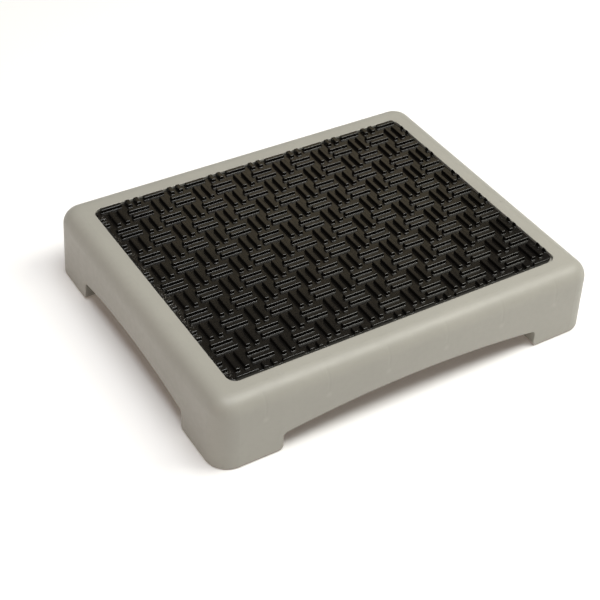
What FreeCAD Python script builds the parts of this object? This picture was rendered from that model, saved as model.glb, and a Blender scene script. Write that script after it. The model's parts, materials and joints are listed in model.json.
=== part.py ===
import FreeCAD, Part
import math
import os
import Sketcher

# A low moulded platform step: one plastic shell with four hollow corner legs, a ribbed rubber
# mat bonded into a recess in its top, and a rubber foot that plugs each leg and is screwed to it.
# Millimetres. +X runs along the long side, +Z is up, and the origin is on the floor under the
# middle of the step.

DRIVING_DIMENSIONS = [
    # outer form of the shell
    ("overall_length", 489.0),      # left to right, at the floor
    ("overall_depth", 394.0),       # front to rear, at the floor
    ("frame_top", 87.5),            # height of the plastic frame around the mat
    ("wall_draft", 1.5),            # degrees, the walls lean inwards
    ("corner_radius", 26.0),        # upright corners
    ("top_edge_radius", 19.5),      # rolled edge between the walls and the top
    ("rim_clearance", 1.0),         # the feet hold the leg rims this far off the floor
    # moulding
    ("wall_thickness", 4.0),
    ("deck_thickness", 4.5),
    ("broken_edge_radius", 0.8),    # broken edges of the recess, arches and leg rims
    ("inner_edge_radius", 12.0),
    ("leg_size", 78.5),             # square legs, outer face to inner face
    ("rib_thickness", 3.0),
    ("rib_pitch", 75.2),            # transverse ribs, front wall to rear wall
    ("rib_bottom", 52.0),           # height of the ribs' lower edges
    # arches between the legs
    ("arch_apex", 34.4),            # height of the middle of each arch
    ("long_arch_radius", 1180.0),
    ("short_arch_radius", 750.0),
    ("arch_fillet", 6.0),           # where an arch meets a leg
    ("leg_toe_radius", 5.5),        # lower inner corner of a leg
    # recess, adhesive and mat
    ("frame_width", 33.3),          # from the wall's foot in to the recess
    ("recess_radius", 11.0),
    ("mat_gap", 0.5),               # between the mat's cut edge and the recess wall
    ("mat_front_gap", 3.7),         # the same at the front, where the mat is cut short
    ("mat_sink", 2.5),              # the mat's ground lies this far below the frame
    ("mat_ground_thickness", 1.5),
    ("adhesive_thickness", 0.5),
    ("adhesive_margin", 2.5),       # the adhesive stops this far inside the mat's edge
    # basket weave of the mat
    ("weave_pitch", 27.46),         # square cells, two bars in each
    ("weave_shift_x", 2.6),         # middle cell from the middle of the step
    ("weave_shift_y", 0.45),
    ("bar_spacing", 11.0),
    ("bar_height", 4.0),
    ("bar_top_width", 5.1),
    ("bar_top_length", 25.8),
    ("bar_flank", 0.4),             # how far each flank spreads from top to foot
    # feet and their fasteners
    ("boss_radius", 8.0),
    ("foot_height", 12.0),
    ("foot_gap", 0.5),              # between the foot and the leg's walls
    ("foot_small_radius", 2.0),     # the foot's three inner upright edges
    ("foot_edge_radius", 1.5),      # around the sole
    ("foot_well_radius", 9.5),
    ("foot_well_depth", 6.5),
    ("foot_hole_radius", 2.6),
    ("washer_radius", 8.0),
    ("washer_thickness", 1.2),
    ("washer_hole_radius", 2.3),
    ("screw_radius", 2.1),
    ("screw_length", 18.0),
    ("screw_point", 3.0),
    ("screw_head_radius", 4.5),
    ("screw_head_height", 3.0),
    ("screw_head_crown", 1.2),
    ("drive_width", 1.3),
    ("drive_span", 4.6),
    ("drive_depth", 1.8),
    ("pilot_depth", 16.0),
]

OUT = 1000.0      # reach of a cutter that runs right through the step
NEAR = 0.02       # how close an edge's middle lies to the wall that it bounds
MARGIN = 1.0      # slack in tests that tell inner edges from outer ones


class Size:
    """A length now, with the expression that keeps a property equal to it."""

    def __init__(self, value, text):
        self.value = value
        self.text = text

    def joined(self, other, sign, value):
        other_text = other.text if isinstance(other, Size) else repr(other)
        return Size(value, f"({self.text} {sign} {other_text})")

    def __add__(self, other):
        return self.joined(other, "+", self.value + number(other))

    def __sub__(self, other):
        return self.joined(other, "-", self.value - number(other))

    def __mul__(self, other):
        return self.joined(other, "*", self.value * number(other))

    def __truediv__(self, other):
        return self.joined(other, "/", self.value / number(other))

    def __neg__(self):
        return Size(-self.value, f"(-1 * {self.text})")


def number(size):
    return size.value if isinstance(size, Size) else size


doc = FreeCAD.newDocument("PlatformStep")
sheet = doc.addObject("Spreadsheet::Sheet", "Dims")
for row, (alias, value) in enumerate(DRIVING_DIMENSIONS, start=1):
    sheet.set(f"A{row}", alias)
    sheet.set(f"B{row}", str(value))
    sheet.setAlias(f"B{row}", alias)
doc.recompute()
DIMENSION = {alias: Size(value, f"Dims.{alias}") for alias, value in DRIVING_DIMENSIONS}


def dim(alias):
    return DIMENSION[alias]


# ---- derived sizes, all from the sheet ----------------------------------------------------

half_length = dim("overall_length") / 2
half_depth = dim("overall_depth") / 2
recess_length = dim("overall_length") - dim("frame_width") * 2
recess_depth = dim("overall_depth") - dim("frame_width") * 2
mat_length = recess_length - dim("mat_gap") * 2
mat_depth = recess_depth - dim("mat_gap") - dim("mat_front_gap")
mat_shift = (dim("mat_front_gap") - dim("mat_gap")) / 2
mat_radius = dim("recess_radius") - dim("mat_gap")
mat_top = dim("frame_top") - dim("mat_sink")
mat_bottom = mat_top - dim("mat_ground_thickness")
recess_floor = mat_bottom - dim("adhesive_thickness")
deck_underside = recess_floor - dim("deck_thickness")
leg_inner_x = half_length - dim("leg_size")
leg_inner_y = half_depth - dim("leg_size")
foot_x = half_length - dim("leg_size") / 2
foot_y = half_depth - dim("leg_size") / 2
foot_width = dim("leg_size") - (dim("wall_thickness") + dim("foot_gap")) * 2
foot_large_radius = dim("corner_radius") - dim("wall_thickness") - dim("foot_gap")

CORNERS = {
    "front_left": (-1, -1),
    "front_right": (1, -1),
    "rear_left": (-1, 1),
    "rear_right": (1, 1),
}


# ---- helpers ------------------------------------------------------------------------------

def bind(thing, **sizes):
    """Tie properties to the sheet; a dot in a property's path is written as two underscores."""
    for name, size in sizes.items():
        thing.setExpression(name.replace("__", "."), size.text)


def place(thing, x=None, y=None, z=None):
    for axis, size in (("x", x), ("y", y), ("z", z)):
        if size is not None:
            thing.setExpression(f".Placement.Base.{axis}", size.text)


def origin_plane(body, role):
    return next(plane for plane in body.Origin.OriginFeatures if plane.Role == role)


def body_sketch(body, name, role="XY_Plane", lift=None):
    sketch = body.newObject("Sketcher::SketchObject", name)
    sketch.AttachmentSupport = [(origin_plane(body, role), "")]
    sketch.MapMode = "FlatFace"
    if lift is not None:
        sketch.setExpression(".AttachmentOffset.Base.z", lift.text)
    return sketch


def constrain(sketch, *parts, size=None):
    """Add one constraint, with the value of the size and tied to it where there is one."""
    if size is None:
        return sketch.addConstraint(Sketcher.Constraint(*parts))
    index = sketch.addConstraint(Sketcher.Constraint(*parts, size.value))
    sketch.setExpression(f"Constraints[{index}]", size.text)
    return index


def point(x, y):
    return FreeCAD.Vector(number(x), number(y), 0)


def rounded_rectangle(sketch, length, depth, radius):
    """A rectangle about the sketch's origin, with four equal corner arcs."""
    right, top, bend = length.value / 2, depth.value / 2, radius.value
    ends = [
        (point(bend - right, -top), point(right - bend, -top)),
        (point(right, bend - top), point(right, top - bend)),
        (point(right - bend, top), point(bend - right, top)),
        (point(-right, top - bend), point(-right, bend - top)),
    ]
    for start, end in ends:
        sketch.addGeometry(Part.LineSegment(start, end), False)
    quarter = math.pi / 2
    for corner, (side_x, side_y) in enumerate(((1, -1), (1, 1), (-1, 1), (-1, -1))):
        centre = point(side_x * (right - bend), side_y * (top - bend))
        circle = Part.Circle(centre, FreeCAD.Vector(0, 0, 1), bend)
        begin = (corner - 1) * quarter
        sketch.addGeometry(Part.ArcOfCircle(circle, begin, begin + quarter), False)
    for corner in range(4):
        constrain(sketch, "Tangent", corner, 2, 4 + corner, 1)
        constrain(sketch, "Tangent", 4 + corner, 2, (corner + 1) % 4, 1)
    for corner in range(5, 8):
        constrain(sketch, "Equal", 4, corner)
    for level, upright in ((0, 1), (2, 3)):
        constrain(sketch, "Horizontal", level)
        constrain(sketch, "Vertical", upright)
    constrain(sketch, "Symmetric", 0, 1, 2, 1, -1, 1)
    constrain(sketch, "DistanceX", -1, 1, 1, 1, size=length / 2)
    constrain(sketch, "DistanceY", -1, 1, 2, 1, size=depth / 2)
    constrain(sketch, "Radius", 4, size=radius)


def polygon(sketch, corners):
    """A closed outline of straight lines, each corner held by its two distances."""
    count = len(corners)
    for index, (x, y) in enumerate(corners):
        next_x, next_y = corners[(index + 1) % count]
        sketch.addGeometry(Part.LineSegment(point(x, y), point(next_x, next_y)), False)
    for index, (x, y) in enumerate(corners):
        constrain(sketch, "Coincident", (index - 1) % count, 2, index, 1)
        if isinstance(x, Size):
            constrain(sketch, "DistanceX", -1, 1, index, 1, size=x)
        else:
            constrain(sketch, "PointOnObject", index, 1, -2)
        if isinstance(y, Size):
            constrain(sketch, "DistanceY", -1, 1, index, 1, size=y)
        else:
            constrain(sketch, "PointOnObject", index, 1, -1)


def padded(body, sketch, name, height, draft=None):
    pad = body.newObject("PartDesign::Pad", name)
    pad.Profile = sketch
    bind(pad, Length=height)
    if draft is not None:
        bind(pad, TaperAngle=draft)
    doc.recompute()
    return pad


def rounded(body, feature, name, radius, wanted):
    """Round the edges of the feature that the test wants."""
    edges = [f"Edge{i}" for i, edge in enumerate(feature.Shape.Edges, start=1) if wanted(edge)]
    fillet = body.newObject("PartDesign::Fillet", name)
    fillet.Base = (feature, edges)
    bind(fillet, Radius=radius)
    doc.recompute()
    return fillet


def flat_at(height):
    """A test for edges that lie wholly at one height."""
    def wanted(edge):
        box = edge.BoundBox
        return abs(box.ZMin - height) < 1e-4 and abs(box.ZMax - height) < 1e-4
    return wanted


def turned_body(name, corners):
    """A body turned about Z from a half outline of radius and height."""
    body = doc.addObject("PartDesign::Body", name)
    sketch = body_sketch(body, f"{name}_profile", "XZ_Plane")
    polygon(sketch, corners)
    turn = body.newObject("PartDesign::Revolution", f"{name}_turn")
    turn.Profile = sketch
    turn.ReferenceAxis = (sketch, ["V_Axis"])
    turn.Angle = 360
    doc.recompute()
    return body, turn


def box(name, low, high):
    """A box between two corners, each a triple of sizes."""
    block = doc.addObject("Part::Box", name)
    (x, y, z), (far_x, far_y, far_z) = low, high
    bind(block, Length=far_x - x, Width=far_y - y, Height=far_z - z)
    place(block, x, y, z)
    return block


def fused(name, pieces):
    whole = doc.addObject("Part::MultiFuse", name)
    whole.Shapes = pieces
    return whole


def cut(name, base, tool):
    result = doc.addObject("Part::Cut", name)
    result.Base = base
    result.Tool = tool
    return result


def mirrored_range(side, near, far):
    """Low and high ends of a range that lies on one side of a middle plane."""
    return (near, far) if side > 0 else (-far, -near)


# ---- platform shell -----------------------------------------------------------------------

def shell_outside():
    """The solid outer form: leaning walls, rolled top edge, and the recess for the mat."""
    body = doc.addObject("PartDesign::Body", "ShellOutside")
    outline = body_sketch(body, "shell_outline", lift=dim("rim_clearance"))
    rounded_rectangle(outline, dim("overall_length"), dim("overall_depth"), dim("corner_radius"))
    height = dim("frame_top") - dim("rim_clearance")
    pad = padded(body, outline, "shell_block", height, -dim("wall_draft"))
    top = flat_at(dim("frame_top").value)
    edge = rounded(body, pad, "rolled_edge", dim("top_edge_radius"), top)
    recess = body_sketch(body, "recess_outline", lift=dim("frame_top"))
    rounded_rectangle(recess, recess_length, recess_depth, dim("recess_radius"))
    pocket = body.newObject("PartDesign::Pocket", "mat_recess")
    pocket.Profile = recess
    bind(pocket, Length=dim("frame_top") - recess_floor)
    doc.recompute()
    if pocket.Shape.Volume >= edge.Shape.Volume - 1.0:
        raise RuntimeError("the mat recess cuts nothing")
    reach = recess_length.value / 2 + MARGIN

    def recess_lip(edge):
        return top(edge) and edge.BoundBox.XMax < reach and edge.BoundBox.XMin > -reach

    rounded(body, pocket, "recess_lip", dim("broken_edge_radius"), recess_lip)
    return body


def shell_core():
    """The space inside the walls and under the deck, before ribs and legs divide it."""
    body = doc.addObject("PartDesign::Body", "ShellCore")
    outline = body_sketch(body, "core_outline")
    inset = dim("wall_thickness")
    rounded_rectangle(
        outline,
        dim("overall_length") - inset * 2,
        dim("overall_depth") - inset * 2,
        dim("corner_radius") - inset,
    )
    pad = padded(body, outline, "core_block", deck_underside, -dim("wall_draft"))
    top = flat_at(deck_underside.value)
    rounded(body, pad, "core_edge", dim("inner_edge_radius"), top)
    return body


def transverse_ribs():
    """Six ribs from the front wall to the rear wall, evenly spaced along X."""
    ribs = []
    for step in (-2.5, -1.5, -0.5, 0.5, 1.5, 2.5):
        left = dim("rib_pitch") * step - dim("rib_thickness") / 2
        low = (left, -half_depth, dim("rib_bottom"))
        high = (left + dim("rib_thickness"), half_depth, dim("frame_top"))
        ribs.append(box(f"transverse_rib_{len(ribs) + 1}", low, high))
    return ribs


def long_ribs():
    """Two ribs that carry the legs' inner walls on from leg to leg, along X."""
    ribs = []
    for side in (-1, 1):
        low_y, high_y = mirrored_range(side, leg_inner_y, leg_inner_y + dim("rib_thickness"))
        low = (-leg_inner_x, low_y, dim("rib_bottom"))
        high = (leg_inner_x, high_y, dim("frame_top"))
        ribs.append(box(f"long_rib_{len(ribs) + 1}", low, high))
    return ribs


def leg_walls(name, side_x, side_y):
    """The two inner walls that close a corner leg, and the boss and webs inside it."""
    thick = dim("wall_thickness")
    floor = dim("rim_clearance")
    top = dim("frame_top")
    whole_x = mirrored_range(side_x, leg_inner_x, half_length)
    whole_y = mirrored_range(side_y, leg_inner_y, half_depth)
    wall_x = mirrored_range(side_x, leg_inner_x, leg_inner_x + thick)
    wall_y = mirrored_range(side_y, leg_inner_y, leg_inner_y + thick)
    web = dim("rib_thickness") / 2
    web_x = (foot_x * side_x - web, foot_x * side_x + web)
    web_y = (foot_y * side_y - web, foot_y * side_y + web)
    spans = {
        "wall_across": (wall_x, whole_y, floor),
        "wall_along": (whole_x, wall_y, floor),
        "web_across": (web_x, whole_y, dim("rib_bottom")),
        "web_along": (whole_x, web_y, dim("rib_bottom")),
    }
    pieces = []
    for part, (span_x, span_y, bottom) in spans.items():
        low = (span_x[0], span_y[0], bottom)
        high = (span_x[1], span_y[1], top)
        pieces.append(box(f"{name}_{part}", low, high))
    boss = doc.addObject("Part::Cylinder", f"{name}_boss")
    bind(boss, Radius=dim("boss_radius"), Height=top - dim("foot_height"))
    place(boss, foot_x * side_x, foot_y * side_y, dim("foot_height"))
    return pieces + [boss]


def arch_cutter(name, half_span, radius, along_y):
    """Everything below one pair of arches, between the legs and right through the step."""
    toe = dim("leg_toe_radius")
    bend = dim("arch_fillet")
    rim = dim("rim_clearance")
    below = dim("rim_clearance") * 5
    centre_height = dim("arch_apex") - radius
    sketch = doc.addObject("Sketcher::SketchObject", f"{name}_outline")
    turn = FreeCAD.Rotation(FreeCAD.Vector(1, 0, 0), 90)
    if not along_y:
        turn = FreeCAD.Rotation(FreeCAD.Vector(0, 0, 1), 90).multiply(turn)
    sketch.Placement = FreeCAD.Placement(FreeCAD.Vector(0, 0, 0), turn)

    span, arch, small, round_toe = half_span.value, radius.value, bend.value, toe.value
    reach = arch - small
    rise = math.sqrt(reach ** 2 - (span - small) ** 2)
    shoulder = centre_height.value + rise
    lean = math.atan2(rise, span - small)
    toe_height = rim.value + round_toe
    up = FreeCAD.Vector(0, 0, 1)

    def line(x, y, far_x, far_y):
        sketch.addGeometry(Part.LineSegment(point(x, y), point(far_x, far_y)), False)

    def arc(x, y, size, begin, end):
        circle = Part.Circle(point(x, y), up, size)
        sketch.addGeometry(Part.ArcOfCircle(circle, begin, end), False)

    outer = span + round_toe
    line(-outer, -below.value, outer, -below.value)
    line(outer, -below.value, outer, rim.value)
    arc(outer, toe_height, round_toe, math.pi, math.pi * 1.5)
    line(span, toe_height, span, shoulder)
    arc(span - small, shoulder, small, 0, lean)
    arc(0, centre_height.value, arch, lean, math.pi - lean)
    arc(small - span, shoulder, small, math.pi - lean, math.pi)
    line(-span, shoulder, -span, toe_height)
    arc(-outer, toe_height, round_toe, math.pi * 1.5, math.pi * 2)
    line(-outer, rim.value, -outer, -below.value)

    for first, first_end, second, second_end in ((0, 2, 1, 1), (1, 2, 2, 2), (8, 1, 9, 1), (9, 2, 0, 1)):
        constrain(sketch, "Coincident", first, first_end, second, second_end)
    for first, first_end, second, second_end in (
        (2, 1, 3, 1), (3, 2, 4, 1), (4, 2, 5, 1), (5, 2, 6, 1), (6, 2, 7, 1), (7, 2, 8, 2),
    ):
        constrain(sketch, "Tangent", first, first_end, second, second_end)
    constrain(sketch, "Horizontal", 0)
    for upright in (1, 3, 7, 9):
        constrain(sketch, "Vertical", upright)
    constrain(sketch, "Vertical", 2, 3, 2, 2)
    constrain(sketch, "Vertical", 8, 3, 8, 1)
    constrain(sketch, "Horizontal", 1, 2, 8, 1)
    constrain(sketch, "Symmetric", 5, 1, 5, 2, -2)
    constrain(sketch, "Equal", 2, 8)
    constrain(sketch, "Equal", 4, 6)
    constrain(sketch, "DistanceX", -1, 1, 3, 1, size=half_span)
    constrain(sketch, "DistanceY", -1, 1, 1, 2, size=rim)
    constrain(sketch, "DistanceY", -1, 1, 0, 1, size=-below)
    constrain(sketch, "Radius", 2, size=toe)
    constrain(sketch, "Radius", 4, size=bend)
    constrain(sketch, "Radius", 5, size=radius)
    constrain(sketch, "DistanceY", -1, 1, 5, 3, size=centre_height)

    cutter = doc.addObject("Part::Extrusion", name)
    cutter.Base = sketch
    cutter.DirMode = "Normal"
    cutter.LengthFwd = OUT
    cutter.Symmetric = True
    cutter.Solid = True
    return cutter


def outer_lower_edges(shape):
    """Numbers of the edges that bound the outer walls below: leg rims, leg toes and arches."""
    lean = math.tan(math.radians(dim("wall_draft").value))
    rim = dim("rim_clearance").value
    bend = dim("corner_radius").value
    highest = dim("arch_apex").value + MARGIN
    found = []
    for index, edge in enumerate(shape.Edges, start=1):
        middle = edge.valueAt((edge.FirstParameter + edge.LastParameter) / 2)
        inset = lean * (middle.z - rim)
        from_end = half_length.value - inset - abs(middle.x)
        from_side = half_depth.value - inset - abs(middle.y)
        from_bend = math.hypot(bend - from_end, bend - from_side) - bend
        on_wall = min(abs(from_end), abs(from_side)) < NEAR
        on_corner = abs(from_bend) < NEAR and flat_at(rim)(edge)
        if edge.BoundBox.ZMax < highest and (on_wall or on_corner):
            found.append(index)
    return found


def platform_shell():
    dividers = transverse_ribs() + long_ribs()
    for name, (side_x, side_y) in CORNERS.items():
        dividers += leg_walls(name, side_x, side_y)
    hollow = cut("ShellHollow", shell_core(), fused("ShellDividers", dividers))
    hollowed = cut("ShellHollowed", shell_outside(), hollow)
    openings = [
        arch_cutter("LongArches", leg_inner_x, dim("long_arch_radius"), True),
        arch_cutter("ShortArches", leg_inner_y, dim("short_arch_radius"), False),
    ]
    for name, (side_x, side_y) in CORNERS.items():
        pilot = doc.addObject("Part::Cylinder", f"{name}_pilot")
        bind(pilot, Radius=dim("screw_radius"), Height=dim("pilot_depth"))
        place(pilot, foot_x * side_x, foot_y * side_y, dim("foot_height"))
        openings.append(pilot)
    sharp = cut("ShellSharp", hollowed, fused("ShellOpenings", openings))
    doc.recompute()
    shell = doc.addObject("Part::Fillet", "PlatformShell")
    shell.Base = sharp
    size = dim("broken_edge_radius").value
    shell.Edges = [(index, size, size) for index in outer_lower_edges(sharp.Shape)]
    shell.Label = "platform_shell"
    return shell


# ---- mat and adhesive ---------------------------------------------------------------------

NO_INSET = Size(0.0, "0")


def sheet_body(name, label, inset, bottom, thickness):
    """A flat sheet of the mat's outline, or inset from it all round."""
    body = doc.addObject("PartDesign::Body", name)
    body.Label = label
    outline = body_sketch(body, f"{name}_outline", lift=bottom)
    rounded_rectangle(outline, mat_length - inset * 2, mat_depth - inset * 2, mat_radius - inset)
    padded(body, outline, f"{name}_pad", thickness)
    place(body, y=mat_shift)
    doc.recompute()
    return body


def weave_bar(name, along_x):
    """One raised bar about the origin, standing on height zero, with leaning flanks."""
    half_top_long = dim("bar_top_length") / 2
    half_top_wide = dim("bar_top_width") / 2
    top_x, top_y = (half_top_long, half_top_wide) if along_x else (half_top_wide, half_top_long)
    flank = dim("bar_flank")
    bar = doc.addObject("Part::Wedge", name)
    # A wedge tapers along its own Y, so it is stood up with its Y along the step's Z.
    bar.Placement = FreeCAD.Placement(
        FreeCAD.Vector(0, 0, 0), FreeCAD.Rotation(FreeCAD.Vector(1, 0, 0), 90)
    )
    bind(
        bar,
        Xmin=-(top_x + flank), Xmax=top_x + flank, X2min=-top_x, X2max=top_x,
        Zmin=-(top_y + flank), Zmax=top_y + flank, Z2min=-top_y, Z2max=top_y,
        Ymax=dim("bar_height"),
    )
    bar.Ymin = 0
    return bar


def tread_mat():
    """The mat's ground sheet with its basket weave: pairs of bars, turned cell by cell.

    The weave runs on past the cut outline of the mat, so the outer bars are cut through.
    """
    ground = sheet_body(
        "MatGround", "mat_ground", NO_INSET, mat_bottom, dim("mat_ground_thickness")
    )
    block = sheet_body("MatBlock", "mat_block", NO_INSET, mat_top, dim("bar_height"))
    bars = {True: weave_bar("BarAlongX", True), False: weave_bar("BarAlongY", False)}
    doc.recompute()

    pitch = dim("weave_pitch").value
    half_spacing = dim("bar_spacing").value / 2
    columns = math.ceil(mat_length.value / 2 / pitch) + 1
    rows = math.ceil(mat_depth.value / 2 / pitch) + 1
    raised = []
    for column in range(-columns, columns + 1):
        for row in range(-rows, rows + 1):
            along_x = (column + row) % 2 == 1
            for side in (-half_spacing, half_spacing):
                shape = bars[along_x].Shape.copy()
                x = dim("weave_shift_x").value + column * pitch + (0 if along_x else side)
                y = dim("weave_shift_y").value + row * pitch + (side if along_x else 0)
                shape.translate(FreeCAD.Vector(x, y, mat_top.value))
                raised.append(shape)
    kept = []
    for shape in raised:
        trimmed = shape.common(block.Shape)
        kept += [solid for solid in trimmed.Solids if solid.Volume > 1.0]
    mat = doc.addObject("Part::Feature", "TreadMat")
    mat.Label = "tread_mat"
    mat.Shape = ground.Shape.fuse(kept).removeSplitter()
    return mat


def mat_adhesive():
    return sheet_body(
        "MatAdhesive", "mat_adhesive", dim("adhesive_margin"), recess_floor,
        dim("adhesive_thickness"),
    )


# ---- feet and fasteners -------------------------------------------------------------------

def round_pocket(body, name, radius, depth):
    """A round pocket up into the underside of a body, on its middle."""
    before = body.Shape.Volume
    circle = body_sketch(body, f"{name}_outline")
    middle = Part.Circle(FreeCAD.Vector(0, 0, 0), FreeCAD.Vector(0, 0, 1), radius.value)
    circle.addGeometry(middle, False)
    constrain(circle, "Coincident", 0, 3, -1, 1)
    constrain(circle, "Radius", 0, size=radius)
    pocket = body.newObject("PartDesign::Pocket", name)
    pocket.Profile = circle
    pocket.Reversed = True
    bind(pocket, Length=depth)
    doc.recompute()
    if pocket.Shape.Volume >= before - MARGIN:
        raise RuntimeError(f"{name} cuts nothing")


def rubber_foot():
    """A rubber plug that closes the leg, with a well underneath for its washer and screw head.

    It is square with one large corner, between +X and +Y.
    """
    body = doc.addObject("PartDesign::Body", "Foot")
    half = foot_width / 2
    outline = body_sketch(body, "Foot_outline")
    polygon(outline, [(-half, -half), (half, -half), (half, half), (-half, half)])
    block = padded(body, outline, "Foot_block", dim("foot_height"))

    def upright(edge, large):
        extent = edge.BoundBox
        return extent.ZLength > MARGIN and (extent.XMin > 0 and extent.YMin > 0) == large

    bend = rounded(body, block, "Foot_bend", foot_large_radius, lambda edge: upright(edge, True))
    small = rounded(
        body, bend, "Foot_corners", dim("foot_small_radius"), lambda edge: upright(edge, False)
    )
    rounded(body, small, "Foot_sole_edge", dim("foot_edge_radius"), flat_at(0.0))
    round_pocket(body, "Foot_well", dim("foot_well_radius"), dim("foot_well_depth"))
    round_pocket(body, "Foot_hole", dim("foot_hole_radius"), dim("foot_height"))
    return body


def washer():
    underside = dim("foot_well_depth") - dim("washer_thickness")
    body, _ = turned_body("Washer", [
        (dim("washer_hole_radius"), underside),
        (dim("washer_radius"), underside),
        (dim("washer_radius"), dim("foot_well_depth")),
        (dim("washer_hole_radius"), dim("foot_well_depth")),
    ])
    return body


def screw():
    """A pan-head screw, head down, with a cross drive cut into its head."""
    seat = dim("foot_well_depth") - dim("washer_thickness")
    face = seat - dim("screw_head_height")
    tip = seat + dim("screw_length")
    body, turn = turned_body("Screw", [
        (0, face),
        (dim("screw_head_radius") - dim("screw_head_crown"), face),
        (dim("screw_head_radius"), face + dim("screw_head_crown")),
        (dim("screw_head_radius"), seat),
        (dim("screw_radius"), seat),
        (dim("screw_radius"), tip - dim("screw_point")),
        (0, tip),
    ])
    wide = dim("drive_width") / 2
    far = dim("drive_span") / 2
    drive = body_sketch(body, "Screw_drive_outline", lift=face)
    polygon(drive, [
        (-far, -wide), (-wide, -wide), (-wide, -far), (wide, -far), (wide, -wide), (far, -wide),
        (far, wide), (wide, wide), (wide, far), (-wide, far), (-wide, wide), (-far, wide),
    ])
    pocket = body.newObject("PartDesign::Pocket", "Screw_drive")
    pocket.Profile = drive
    pocket.Reversed = True
    bind(pocket, Length=dim("drive_depth"))
    doc.recompute()
    if pocket.Shape.Volume >= turn.Shape.Volume - 0.1:
        raise RuntimeError("the screw's drive cuts nothing")
    return body


def at_each_corner(label, make):
    """One body of this kind in each leg, turned so that its +X +Y corner faces outwards."""
    bodies = []
    for name, (side_x, side_y) in CORNERS.items():
        body = make()
        body.Label = f"{label}_{name}"
        turn = math.degrees(math.atan2(side_y, side_x)) - 45
        body.Placement = FreeCAD.Placement(
            FreeCAD.Vector(0, 0, 0), FreeCAD.Rotation(FreeCAD.Vector(0, 0, 1), turn)
        )
        place(body, foot_x * side_x, foot_y * side_y)
        bodies.append(body)
    return bodies


# ---- build, check and write ---------------------------------------------------------------

subparts = [platform_shell(), tread_mat(), mat_adhesive()]
subparts += at_each_corner("foot_pad", rubber_foot)
subparts += at_each_corner("foot_washer", washer)
subparts += at_each_corner("foot_screw", screw)
doc.recompute()

for item in doc.Objects:
    if "Invalid" in item.State or "Error" in item.State:
        raise RuntimeError(f"{item.Label} failed: {item.State}")
for item in subparts:
    if item.Shape.isNull() or not item.Shape.isValid() or len(item.Shape.Solids) != 1:
        raise RuntimeError(f"{item.Label} has no single valid solid")

os.makedirs("parts", exist_ok=True)
for item in subparts:
    item.Shape.exportStep(f"parts/{item.Label}.step")
    print(item.Label, round(item.Shape.Volume / 1000, 2), "cm3", item.Shape.BoundBox)
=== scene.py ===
import json
import math

import bmesh
import bpy
import numpy as np
from mathutils import Matrix, Vector

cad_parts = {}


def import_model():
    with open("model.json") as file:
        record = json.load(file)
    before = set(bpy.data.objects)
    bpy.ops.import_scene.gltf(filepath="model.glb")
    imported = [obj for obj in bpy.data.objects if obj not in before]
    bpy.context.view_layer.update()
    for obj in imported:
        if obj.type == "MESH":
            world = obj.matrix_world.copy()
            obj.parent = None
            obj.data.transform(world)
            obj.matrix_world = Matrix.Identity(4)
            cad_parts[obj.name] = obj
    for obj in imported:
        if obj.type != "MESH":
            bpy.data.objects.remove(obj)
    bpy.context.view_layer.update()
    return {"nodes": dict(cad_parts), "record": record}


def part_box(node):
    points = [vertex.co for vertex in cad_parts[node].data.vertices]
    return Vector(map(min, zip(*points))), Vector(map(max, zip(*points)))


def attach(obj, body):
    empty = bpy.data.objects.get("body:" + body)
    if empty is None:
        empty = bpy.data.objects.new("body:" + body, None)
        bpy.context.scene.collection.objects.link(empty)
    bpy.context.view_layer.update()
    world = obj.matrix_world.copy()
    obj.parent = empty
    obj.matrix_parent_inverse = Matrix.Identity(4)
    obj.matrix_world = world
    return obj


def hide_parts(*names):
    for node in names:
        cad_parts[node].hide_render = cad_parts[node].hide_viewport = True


# The looks of a moulded platform step: grey shell, basket-weave rubber mat, feet and fasteners.
# Metres, in the frame of the CAD model: +X along the long side, +Y to the rear, +Z up, floor at 0.

MM = 0.001

# ---- camera -------------------------------------------------------------------------------
CAMERA_AZIMUTH = -34.15           # degrees right of the front, so this is left of it
CAMERA_ELEVATION = 38.10
CAMERA_ROLL = 3.74
CAMERA_DISTANCE = 1627.4 * MM
CAMERA_TARGET = Vector((-0.6, 18.2, 50.0)) * MM
CAMERA_LENS = 83.6                # millimetres on the sensor below
CAMERA_SHIFT = (-0.02, -0.08)     # the step lies a little above and right of the middle
SENSOR_WIDTH = 36.0

# ---- mat ----------------------------------------------------------------------------------
WEAVE_PITCH = 27.46 * MM          # square cells, two bars in each
WEAVE_SHIFT = (2.6 * MM, 0.45 * MM)
BAR_SPACING = 11.0 * MM
BAR_HEIGHT = 4.0 * MM
BAR_TOP_LENGTH = 25.8 * MM
BAR_TOP_WIDTH = 5.1 * MM
BAR_FLANK = 0.4 * MM              # each flank spreads this far from top to foot
BAR_CORNER = 0.9 * MM             # corners of a bar seen from above
TIGHTEST_CORNER = 0.12 * MM       # the same where its rounded top has drawn them in
BAR_TOP_ROUND = 0.8 * MM
BAR_FOOT_ROUND = 0.5 * MM
MAT_CORNER = 10.5 * MM
MAT_EDGE_ROUND = 0.6 * MM         # worn round along the top of the mat's cut edge
SHARP_ANGLE = 50                  # degrees between faces, above which their edge stays sharp
CRUMBS_FROM = 206.0 * MM          # pale crumbs lie between here and the mat's left edge
CRUMBS_FADE = 6.0 * MM

# how many straight pieces make up each curve or border of the mat
BAR_ROUND_STEPS = 3
BAR_CORNER_STEPS = 3
CELL_SIDE_STEPS = 4
MAT_CORNER_STEPS = 6
MAT_EDGE_STEPS = 3

CELL_WELD = 0.01 * MM             # points of neighbouring cells closer than this are one
EDGE_WELD = 0.001 * MM            # the same along the mat's cut edge
ON_PLANE = 1e-7                   # metres, closer to a cut than this counts as on it

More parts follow.
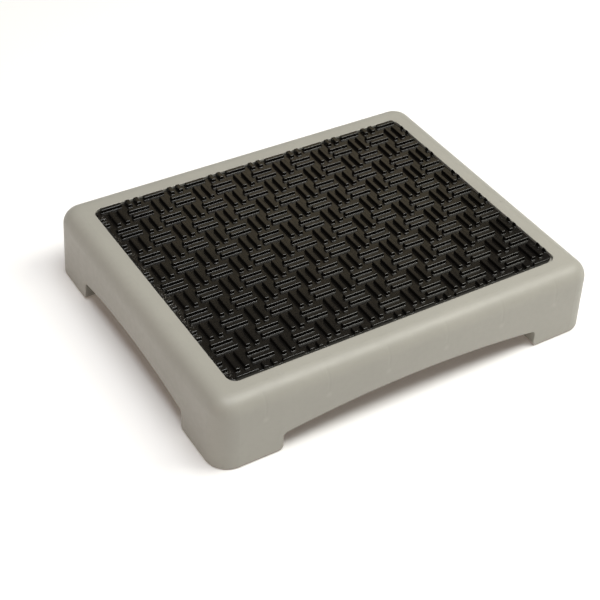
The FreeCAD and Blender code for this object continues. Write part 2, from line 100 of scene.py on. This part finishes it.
# ---- shell --------------------------------------------------------------------------------
RIB_PITCH = 75.2 * MM             # transverse ribs lie half a pitch off the middle, and so on
RIB_FOOT = 53.0 * MM              # their lower edges
WALL_FROM = 185.0 * MM            # the front and rear walls lie further out than this
WALL_FADE = 4.0 * MM              # traces of the ribs fade in over this towards the walls
SINK_DEPTH = 0.10 * MM
SINK_HALF_WIDTH = 2.6 * MM
SINK_FADE = 12.0 * MM             # sink marks fade in over this, upwards from the ribs' feet
# painted highlight: a paler spot at each rib's foot, where the wall catches the light
HIGHLIGHT_SPOT_RADIUS = 5.5 * MM
HIGHLIGHT_SPOT_STRENGTH = 0.55

MOST_NOISE = (0.3, 0.7)           # nearly all values of a noise lie between these

# ---- stage --------------------------------------------------------------------------------
FLOOR_HALF = 30.0                 # metres from the step to the floor's edge
NEAR_GLOW = 0.11                  # the paper glows weakly so that shadows stay pale and warm
FAR_GLOW = 1.0                    # and strongly where the lamps no longer reach
NEAR_TINT = (1.0, 0.83, 0.70)
FAR_TINT = (1.0, 1.0, 1.0)
NEAR_REACH, FAR_REACH = 1.0, 2.6  # near turns into far between these distances from the step
WORLD_GREY = (0.05, 0.05, 0.05)

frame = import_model()


# ---- node helpers -------------------------------------------------------------------------

class Surface:
    """A material's node tree, with short ways to add nodes and links."""

    def __init__(self, name):
        self.material = bpy.data.materials.new(name)
        self.material.use_nodes = True
        self.tree = self.material.node_tree
        self.shader = self.tree.nodes["Principled BSDF"]

    def node(self, kind, **settings):
        made = self.tree.nodes.new(kind)
        for key, value in settings.items():
            setattr(made, key, value)
        return made

    def link(self, source, target):
        self.tree.links.new(source, target)

    def feed(self, **sources):
        """Link outputs to the shader, where base_color=output feeds its Base Color."""
        for name, source in sources.items():
            self.link(source, self.shader.inputs[name.replace("_", " ").title()])

    def fix(self, name, value):
        """Set one of the shader's inputs to a number."""
        self.shader.inputs[name].default_value = value

    def position(self):
        """Where the surface is, in the object's own metres."""
        return self.node("ShaderNodeTexCoord").outputs["Object"]

    def split(self, vector, axis):
        made = self.node("ShaderNodeSeparateXYZ")
        self.link(vector, made.inputs["Vector"])
        return made.outputs[axis]

    def noise(self, place, size, detail=3.0, stretch=None):
        """Noise from 0 to 1 whose blotches are about this size across."""
        if stretch:
            mapped = self.node("ShaderNodeMapping")
            mapped.inputs["Scale"].default_value = stretch
            self.link(place, mapped.inputs["Vector"])
            place = mapped.outputs["Vector"]
        made = self.node("ShaderNodeTexNoise")
        made.inputs["Scale"].default_value = 1.0 / size
        made.inputs["Detail"].default_value = detail
        self.link(place, made.inputs["Vector"])
        return made.outputs["Fac"]

    def ramp(self, value, low, high, from_low=0.0, from_high=1.0, smooth=True):
        """Turn values between from_low and from_high into values between low and high."""
        made = self.node("ShaderNodeMapRange")
        made.interpolation_type = "SMOOTHSTEP" if smooth else "LINEAR"
        made.inputs["From Min"].default_value = from_low
        made.inputs["From Max"].default_value = from_high
        made.inputs["To Min"].default_value = low
        made.inputs["To Max"].default_value = high
        self.link(value, made.inputs["Value"])
        return made.outputs["Result"]

    def math(self, operation, first, second=None):
        """Calculate with outputs and numbers."""
        made = self.node("ShaderNodeMath", operation=operation)
        for socket, value in zip(made.inputs, (first, second)):
            if value is None:
                continue
            if isinstance(value, (int, float)):
                socket.default_value = value
            else:
                self.link(value, socket)
        return made.outputs["Value"]

    def mix(self, factor, first, second):
        """Colour between two colours, or between a colour and an output."""
        made = self.node("ShaderNodeMix", data_type="RGBA")
        colours = [socket for socket in made.inputs if socket.type == "RGBA"]
        for socket, value in zip(colours, (first, second)):
            if isinstance(value, tuple):
                socket.default_value = (*value, 1.0)
            else:
                self.link(value, socket)
        self.link(factor, made.inputs["Factor"])
        return next(socket for socket in made.outputs if socket.type == "RGBA")

    def bump(self, height, depth, under=None):
        """Raise the surface by height, which runs from 0 to 1, times a depth in metres."""
        made = self.node("ShaderNodeBump")
        made.inputs["Distance"].default_value = depth
        self.link(height, made.inputs["Height"])
        if under is not None:
            self.link(under, made.inputs["Normal"])
        return made.outputs["Normal"]

    def rib_sinks_and_highlights(self, place):
        """Sink marks and painted highlights on the front and rear walls where the ribs meet them
        from behind.

        The first output is 0 along a rib and 1 elsewhere. The second is 1 on the painted
        highlight, a pale spot at a rib's foot, and 0 elsewhere.
        """
        x, y, z = (self.split(place, axis) for axis in "XYZ")
        turn = self.math("FRACT", self.math("MULTIPLY", x, 1 / RIB_PITCH))
        turns_away = self.math("ABSOLUTE", self.math("SUBTRACT", turn, 0.5))
        away = self.math("MULTIPLY", turns_away, RIB_PITCH)
        off_middle = self.math("ABSOLUTE", y)
        on_wall = self.ramp(off_middle, 0, 1, WALL_FROM, WALL_FROM + WALL_FADE)
        above_foot = self.ramp(z, 0, 1, RIB_FOOT, RIB_FOOT + SINK_FADE)
        near_rib = self.ramp(away, 1, 0, 0, SINK_HALF_WIDTH)
        along_rib = self.math("MULTIPLY", near_rib, above_foot)
        sunk = self.math("SUBTRACT", 1.0, self.math("MULTIPLY", along_rib, on_wall))
        rise = self.math("SUBTRACT", z, RIB_FOOT)
        gap = self.math("ADD", self.math("POWER", away, 2.0), self.math("POWER", rise, 2.0))
        highlight_spot = self.ramp(self.math("SQRT", gap), 1, 0, 0, HIGHLIGHT_SPOT_RADIUS)
        return sunk, self.math("MULTIPLY", highlight_spot, on_wall)


# ---- materials ----------------------------------------------------------------------------

def shell_plastic():
    """Fine-grained warm grey moulding with faint clouds, mottle, the ribs' sink marks and a
    painted highlight at each rib's foot.
    """
    surface = Surface("shell_plastic")
    place = surface.position()
    clouds = surface.noise(place, size=90 * MM, detail=2.0)
    mottle = surface.noise(place, size=7 * MM, detail=4.0)
    grain = surface.noise(place, size=0.9 * MM, detail=2.0)
    sunk, highlight_spot = surface.rib_sinks_and_highlights(place)

    deep_grey, light_grey = (0.352, 0.337, 0.294), (0.368, 0.352, 0.307)
    mottle_grey, highlight_grey = (0.342, 0.329, 0.288), (0.43, 0.415, 0.37)
    cloudy = surface.ramp(clouds, 0, 1, 0.35, 0.65)
    colour = surface.mix(cloudy, deep_grey, light_grey)
    mottled = surface.ramp(mottle, 0, 0.3, 0.4, 0.7)
    colour = surface.mix(mottled, colour, mottle_grey)
    # painted highlight: the wall turns paler in a spot at each rib's foot, where it catches the
    # light
    pale = surface.math("MULTIPLY", highlight_spot, HIGHLIGHT_SPOT_STRENGTH)
    colour = surface.mix(pale, colour, highlight_grey)

    wavy = surface.bump(clouds, depth=0.6 * MM)
    dented = surface.bump(sunk, depth=SINK_DEPTH, under=wavy)
    surface.feed(
        base_color=colour,
        roughness=surface.ramp(mottle, 0.41, 0.51, *MOST_NOISE),
        normal=surface.bump(grain, depth=0.05 * MM, under=dented),
    )
    return surface.material


def mat_rubber():
    """Nearly black, slightly glossy rubber with pale crumbs along the mat's left edge."""
    surface = Surface("mat_rubber")
    place = surface.position()
    patches = surface.noise(place, size=45 * MM)
    grain = surface.noise(place, size=0.7 * MM)
    specks = surface.noise(place, size=1.1 * MM, detail=2.0)
    groups = surface.noise(place, size=25 * MM, detail=1.0)

    deep_black, brown_black = (0.0028, 0.0021, 0.0013), (0.0042, 0.0031, 0.0019)
    crumb_grey = (0.42, 0.40, 0.36)
    patchy = surface.ramp(patches, 0, 1, *MOST_NOISE)
    colour = surface.mix(patchy, deep_black, brown_black)
    crumbs = surface.ramp(specks, 0, 1, 0.62, 0.67)
    gathered = surface.ramp(groups, 0, 1, 0.45, 0.6)
    x = surface.split(place, "X")
    by_edge = surface.ramp(x, 1, 0, -CRUMBS_FROM, -CRUMBS_FROM + CRUMBS_FADE)
    crumbs = surface.math("MULTIPLY", surface.math("MULTIPLY", crumbs, gathered), by_edge)
    colour = surface.mix(crumbs, colour, crumb_grey)

    surface.feed(
        base_color=colour,
        roughness=surface.ramp(grain, 0.18, 0.26, *MOST_NOISE),
        normal=surface.bump(grain, depth=0.01 * MM),
    )
    surface.fix("Specular IOR Level", 0.82)
    return surface.material


def cut_rubber():
    """The mat's sawn edge: duller, browner and rougher than its moulded face."""
    surface = Surface("cut_rubber")
    drag = surface.noise(surface.position(), size=0.8 * MM, detail=4.0, stretch=(1, 1, 0.25))
    dragged = surface.ramp(drag, 0, 1, *MOST_NOISE)
    dark_brown, dusty_brown = (0.030, 0.024, 0.017), (0.058, 0.047, 0.034)
    surface.feed(
        base_color=surface.mix(dragged, dark_brown, dusty_brown),
        roughness=surface.ramp(drag, 0.5, 0.8, *MOST_NOISE),
        normal=surface.bump(drag, depth=0.1 * MM),
    )
    return surface.material


def foot_rubber():
    """Matt black rubber with a little dust."""
    surface = Surface("foot_rubber")
    place = surface.position()
    grain = surface.noise(place, size=1.2 * MM)
    dust = surface.noise(place, size=12 * MM, detail=5.0)
    dusty = surface.ramp(dust, 0, 1, 0.5, 0.8)
    clean_black, dust_grey = (0.018, 0.018, 0.017), (0.05, 0.047, 0.042)
    surface.feed(
        base_color=surface.mix(dusty, clean_black, dust_grey),
        roughness=surface.ramp(grain, 0.6, 0.8, *MOST_NOISE),
        normal=surface.bump(grain, depth=0.05 * MM),
    )
    return surface.material


def fastener_steel():
    """Zinc-plated steel with a spangle and fine scratches."""
    surface = Surface("fastener_steel")
    place = surface.position()
    spangle = surface.noise(place, size=2.5 * MM)
    scratches = surface.noise(place, size=0.5 * MM, detail=2.0)
    spangled = surface.ramp(spangle, 0, 1, *MOST_NOISE)
    dark_zinc, bright_zinc = (0.50, 0.49, 0.46), (0.64, 0.63, 0.60)
    surface.feed(
        base_color=surface.mix(spangled, dark_zinc, bright_zinc),
        roughness=surface.ramp(scratches, 0.28, 0.45, *MOST_NOISE),
        normal=surface.bump(scratches, depth=0.01 * MM),
    )
    surface.fix("Metallic", 1.0)
    return surface.material


def adhesive_film():
    """Cream transfer adhesive, smeared unevenly."""
    surface = Surface("adhesive_film")
    smears = surface.noise(surface.position(), size=20 * MM, detail=4.0)
    smeared = surface.ramp(smears, 0, 1, *MOST_NOISE)
    deep_cream, pale_cream = (0.55, 0.50, 0.38), (0.68, 0.63, 0.50)
    surface.feed(
        base_color=surface.mix(smeared, deep_cream, pale_cream),
        roughness=surface.ramp(smears, 0.3, 0.5),
        normal=surface.bump(smears, depth=0.1 * MM),
    )
    return surface.material


def floor_paper():
    """Pale paper whose glow turns from weak and warm to strong and white far from the step."""
    surface = Surface("floor_paper")
    place = surface.position()
    fibres = surface.noise(place, size=3 * MM)
    reach = surface.node("ShaderNodeVectorMath", operation="LENGTH")
    surface.link(place, reach.inputs[0])
    far = surface.ramp(reach.outputs["Value"], 0, 1, NEAR_REACH, FAR_REACH)
    pale_grey, off_white = (0.93, 0.93, 0.93), (0.95, 0.95, 0.95)
    surface.feed(
        base_color=surface.mix(fibres, pale_grey, off_white),
        emission_color=surface.mix(far, NEAR_TINT, FAR_TINT),
        emission_strength=surface.ramp(far, NEAR_GLOW, FAR_GLOW, smooth=False),
    )
    surface.fix("Roughness", 0.9)
    surface.fix("Specular IOR Level", 0.0)
    return surface.material


# ---- mat mesh -----------------------------------------------------------------------------

def placed(name, data):
    """A new object in the scene."""
    made = bpy.data.objects.new(name, data)
    bpy.context.scene.collection.objects.link(made)
    return made


def bar_profile():
    """Half section of a bar from its top's inner edge down to the ground: (outset, height)."""
    lean = math.atan2(BAR_FLANK, BAR_HEIGHT)
    points = []
    for step in range(BAR_ROUND_STEPS + 1):
        angle = math.pi / 2 + (lean - math.pi / 2) * step / BAR_ROUND_STEPS
        points.append((
            BAR_TOP_ROUND * (math.cos(angle) - 1),
            BAR_HEIGHT + BAR_TOP_ROUND * (math.sin(angle) - 1),
        ))
    flank_out, flank_height = points[-1]
    # the concave foot round touches the flank and the ground
    reach = BAR_FOOT_ROUND * math.tan((math.pi / 2 - lean) / 2)
    centre_out = flank_out + flank_height * math.tan(lean) + reach
    for step in range(BAR_ROUND_STEPS + 1):
        angle = math.pi + lean + (math.pi / 2 - lean) * step / BAR_ROUND_STEPS
        points.append((
            centre_out + BAR_FOOT_ROUND * math.cos(angle),
            max(BAR_FOOT_ROUND + BAR_FOOT_ROUND * math.sin(angle), 0.0),
        ))
    return points


def bar_outline(outset):
    """A bar seen from above, along Y, as a rounded rectangle that grows by the outset."""
    half_wide = BAR_TOP_WIDTH / 2 + outset
    half_long = BAR_TOP_LENGTH / 2 + outset
    bend = max(BAR_CORNER + outset, TIGHTEST_CORNER)
    points = []
    for corner, (side_x, side_y) in enumerate(((1, 1), (-1, 1), (-1, -1), (1, -1))):
        for step in range(BAR_CORNER_STEPS + 1):
            angle = (corner + step / BAR_CORNER_STEPS) * math.pi / 2
            points.append((
                side_x * (half_wide - bend) + bend * math.cos(angle),
                side_y * (half_long - bend) + bend * math.sin(angle),
            ))
    return points


def closed_loop(mesh, verts):
    """Edges that join the points in turn, and the last to the first."""
    return [mesh.edges.new((verts[i - 1], verts[i])) for i in range(len(verts))]


def weave_cell():
    """One cell about the origin with its two bars along Y: points, and faces as point numbers."""
    mesh = bmesh.new()
    half = WEAVE_PITCH / 2
    border = []
    corners = ((-half, -half), (half, -half), (half, half), (-half, half))
    for (x, y), (next_x, next_y) in zip(corners, corners[1:] + corners[:1]):
        for step in range(CELL_SIDE_STEPS):
            share = step / CELL_SIDE_STEPS
            border.append(mesh.verts.new((x + (next_x - x) * share, y + (next_y - y) * share, 0)))
    edges = closed_loop(mesh, border)
    profile = bar_profile()
    bars = []
    for middle in (-BAR_SPACING / 2, BAR_SPACING / 2):
        rings = [
            [mesh.verts.new((x + middle, y, height)) for x, y in bar_outline(outset)]
            for outset, height in profile
        ]
        bars.append(rings)
        edges += closed_loop(mesh, rings[-1])
    bmesh.ops.triangle_fill(
        mesh, use_beauty=True, use_dissolve=False, edges=edges, normal=(0, 0, 1)
    )
    for rings in bars:
        mesh.faces.new(rings[0])
        for upper, lower in zip(rings, rings[1:]):
            for i in range(len(upper)):
                mesh.faces.new((upper[i - 1], lower[i - 1], lower[i], upper[i]))
    bmesh.ops.recalc_face_normals(mesh, faces=mesh.faces)
    mesh.verts.index_update()
    points = np.array([vert.co for vert in mesh.verts])
    faces = [[vert.index for vert in face.verts] for face in mesh.faces]
    top = max(mesh.faces, key=lambda face: face.calc_center_median().z)
    if top.normal.z < 0:
        faces = [face[::-1] for face in faces]
    mesh.free()
    return points, faces


def weave(low, high):
    """Cells over the whole mat and beyond, every other one turned: points and faces."""
    cell_points, cell_faces = weave_cell()
    turned = cell_points[:, [1, 0, 2]] * (-1, 1, 1)
    columns = math.ceil((high.x - low.x) / 2 / WEAVE_PITCH) + 1
    rows = math.ceil((high.y - low.y) / 2 / WEAVE_PITCH) + 1
    points, faces = [], []
    for column in range(-columns, columns + 1):
        for row in range(-rows, rows + 1):
            along_x = (column + row) % 2 == 1
            middle = (
                WEAVE_SHIFT[0] + column * WEAVE_PITCH,
                WEAVE_SHIFT[1] + row * WEAVE_PITCH,
                high.z - BAR_HEIGHT,
            )
            first = len(points) * len(cell_points)
            points.append((turned if along_x else cell_points) + middle)
            faces += [[first + number for number in face] for face in cell_faces]
    return np.concatenate(points).tolist(), faces


def mat_planes(low, high):
    """Upright planes that cut the weave one edge round inside the mat's outline.

    Each is a point on the plane and its outward direction.
    """
    planes = []
    for side_x, side_y in ((1, 1), (-1, 1), (-1, -1), (1, -1)):
        middle = Vector((
            (high.x if side_x > 0 else low.x) - side_x * MAT_CORNER,
            (high.y if side_y > 0 else low.y) - side_y * MAT_CORNER,
            0,
        ))
        for step in range(MAT_CORNER_STEPS + 1):
            angle = math.pi / 2 * step / MAT_CORNER_STEPS
            out = Vector((side_x * math.cos(angle), side_y * math.sin(angle), 0))
            planes.append((middle + out * (MAT_CORNER - MAT_EDGE_ROUND), out))
    return planes


def trim(work, low, high):
    """Cut the weave to the mat's outline, less its edge round."""
    for point, out in mat_planes(low, high):
        reach = point.dot(out) - ON_PLANE
        near = [face for face in work.faces if max(v.co.dot(out) for v in face.verts) > reach]
        geometry = set(near)
        for face in near:
            geometry.update(face.verts)
            geometry.update(face.edges)
        bmesh.ops.bisect_plane(
            work, geom=list(geometry), dist=ON_PLANE, plane_co=point, plane_no=out,
            clear_outer=True,
        )


def outward(point, low, high):
    """Level direction from a point near the mat's outline straight out through it."""
    inside = Vector((
        min(max(point.x, low.x + MAT_CORNER), high.x - MAT_CORNER),
        min(max(point.y, low.y + MAT_CORNER), high.y - MAT_CORNER),
        point.z,
    ))
    return (point - inside).normalized()


def open_edges(work):
    return [edge for edge in work.edges if edge.is_boundary]


def extruded_rim(work):
    """Add a ring of faces along the open edge: the new faces and the new points."""
    made = bmesh.ops.extrude_edge_only(work, edges=open_edges(work))["geom"]
    faces = [item for item in made if isinstance(item, bmesh.types.BMFace)]
    return faces, [item for item in made if isinstance(item, bmesh.types.BMVert)]


def close_mat(work, low, high):
    """Round the trimmed edge, then add the cut sides and the flat underside."""
    for step in range(MAT_EDGE_STEPS):
        before, after = (math.pi / 2 * turn / MAT_EDGE_STEPS for turn in (step, step + 1))
        out = MAT_EDGE_ROUND * (math.sin(after) - math.sin(before))
        down = MAT_EDGE_ROUND * (math.cos(before) - math.cos(after))
        for vert in extruded_rim(work)[1]:
            vert.co += outward(vert.co, low, high) * out - Vector((0, 0, down))
    sides, lower = extruded_rim(work)
    for face in sides:
        face.material_index = 1
    for vert in lower:
        vert.co.z = low.z
    bmesh.ops.remove_doubles(work, verts=lower, dist=EDGE_WELD)
    bmesh.ops.triangle_fill(work, use_beauty=True, edges=open_edges(work), normal=(0, 0, -1))
    bmesh.ops.recalc_face_normals(work, faces=work.faces)


def tread_mat():
    """The whole mat, from its bars' rounded tops to its underside, in the CAD mat's box."""
    low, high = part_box("tread_mat")
    points, faces = weave(low, high)
    mesh = bpy.data.meshes.new("tread_mat_weave")
    mesh.from_pydata(points, [], faces)
    work = bmesh.new()
    work.from_mesh(mesh)
    bmesh.ops.remove_doubles(work, verts=work.verts, dist=CELL_WELD)
    trim(work, low, high)
    close_mat(work, low, high)
    for face in work.faces:
        face.smooth = True
    work.to_mesh(mesh)
    work.free()
    mat = placed("rubber_tread_mat", mesh)
    weigh = mat.modifiers.new("weighted normals", "WEIGHTED_NORMAL")
    weigh.keep_sharp = True
    mesh.set_sharp_from_angle(angle=math.radians(SHARP_ANGLE))
    return mat


# ---- assembly -----------------------------------------------------------------------------

FINISHES = {
    "shell_plastic": shell_plastic(),
    "mat_rubber": mat_rubber(),
    "foot_rubber": foot_rubber(),
    "fastener_steel": fastener_steel(),
    "adhesive_film": adhesive_film(),
}


def wear(thing, slot):
    """Give a piece the material named after its slot."""
    thing.data.materials.clear()
    thing.data.materials.append(FINISHES[slot])


for part in frame["record"]["subparts"]:
    wear(frame["nodes"][part["node"]], part["material_slot"])

mat = tread_mat()
wear(mat, "mat_rubber")
mat.data.materials.append(cut_rubber())
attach(mat, "root")
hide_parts("tread_mat")


# ---- stage --------------------------------------------------------------------------------

def floor():
    half = FLOOR_HALF
    corners = [(-half, -half, 0), (half, -half, 0), (half, half, 0), (-half, half, 0)]
    mesh = bpy.data.meshes.new("floor")
    mesh.from_pydata(corners, [], [(0, 1, 2, 3)])
    mesh.materials.append(floor_paper())
    plane = placed("floor", mesh)


def direction(azimuth, elevation):
    """From the step outwards, by degrees right of the front and degrees above the floor."""
    turn, lift = math.radians(azimuth), math.radians(elevation)
    return Vector((
        math.sin(turn) * math.cos(lift), -math.cos(turn) * math.cos(lift), math.sin(lift)
    ))


def area_light(name, azimuth, elevation, distance, size, power, colour):
    """A soft box that faces the step: width and height in metres, power in watts."""
    light = bpy.data.lights.new(name, "AREA")
    light.shape = "RECTANGLE"
    light.size, light.size_y = size
    light.energy = power
    light.color = colour
    lamp = placed(name, light)
    back = direction(azimuth, elevation)
    lamp.location = back * distance
    lamp.rotation_euler = back.to_track_quat("Z", "Y").to_euler()


def lights():
    area_light("key", azimuth=62, elevation=56, distance=2.0, size=(0.95, 0.95), power=19.5,
               colour=(1.0, 0.99, 0.90))
    area_light("overhead", azimuth=10, elevation=82, distance=4.0, size=(2.85, 2.85), power=142,
               colour=(0.985, 0.995, 1.0))
    area_light("rear", azimuth=146.7, elevation=35.0, distance=3.0, size=(1.11, 0.51), power=1.12,
               colour=(1.0, 0.84, 0.55))
    area_light("left", azimuth=275, elevation=13, distance=3.0, size=(1.42, 1.2), power=8.0,
               colour=(1.0, 0.71, 0.54))


def world():
    studio = bpy.data.worlds.new("studio")
    studio.use_nodes = True
    background = studio.node_tree.nodes["Background"]
    background.inputs["Color"].default_value = (*WORLD_GREY, 1)
    background.inputs["Strength"].default_value = 1.0
    bpy.context.scene.world = studio


def camera():
    view = bpy.data.cameras.new("camera")
    view.sensor_width = SENSOR_WIDTH
    view.lens = CAMERA_LENS
    view.shift_x, view.shift_y = CAMERA_SHIFT
    eye = placed("camera", view)
    back = direction(CAMERA_AZIMUTH, CAMERA_ELEVATION)
    right = Vector((0, 0, 1)).cross(back).normalized()
    axes = Matrix((right, back.cross(right), back)).transposed()
    axes = axes @ Matrix.Rotation(math.radians(CAMERA_ROLL), 3, "Z")
    place = Matrix.Translation(CAMERA_TARGET + back * CAMERA_DISTANCE)
    eye.matrix_world = place @ axes.to_4x4()
    bpy.context.scene.camera = eye


floor()
lights()
world()
camera()
bpy.context.scene.view_settings.view_transform = "Standard"

bpy.context.view_layer.update()
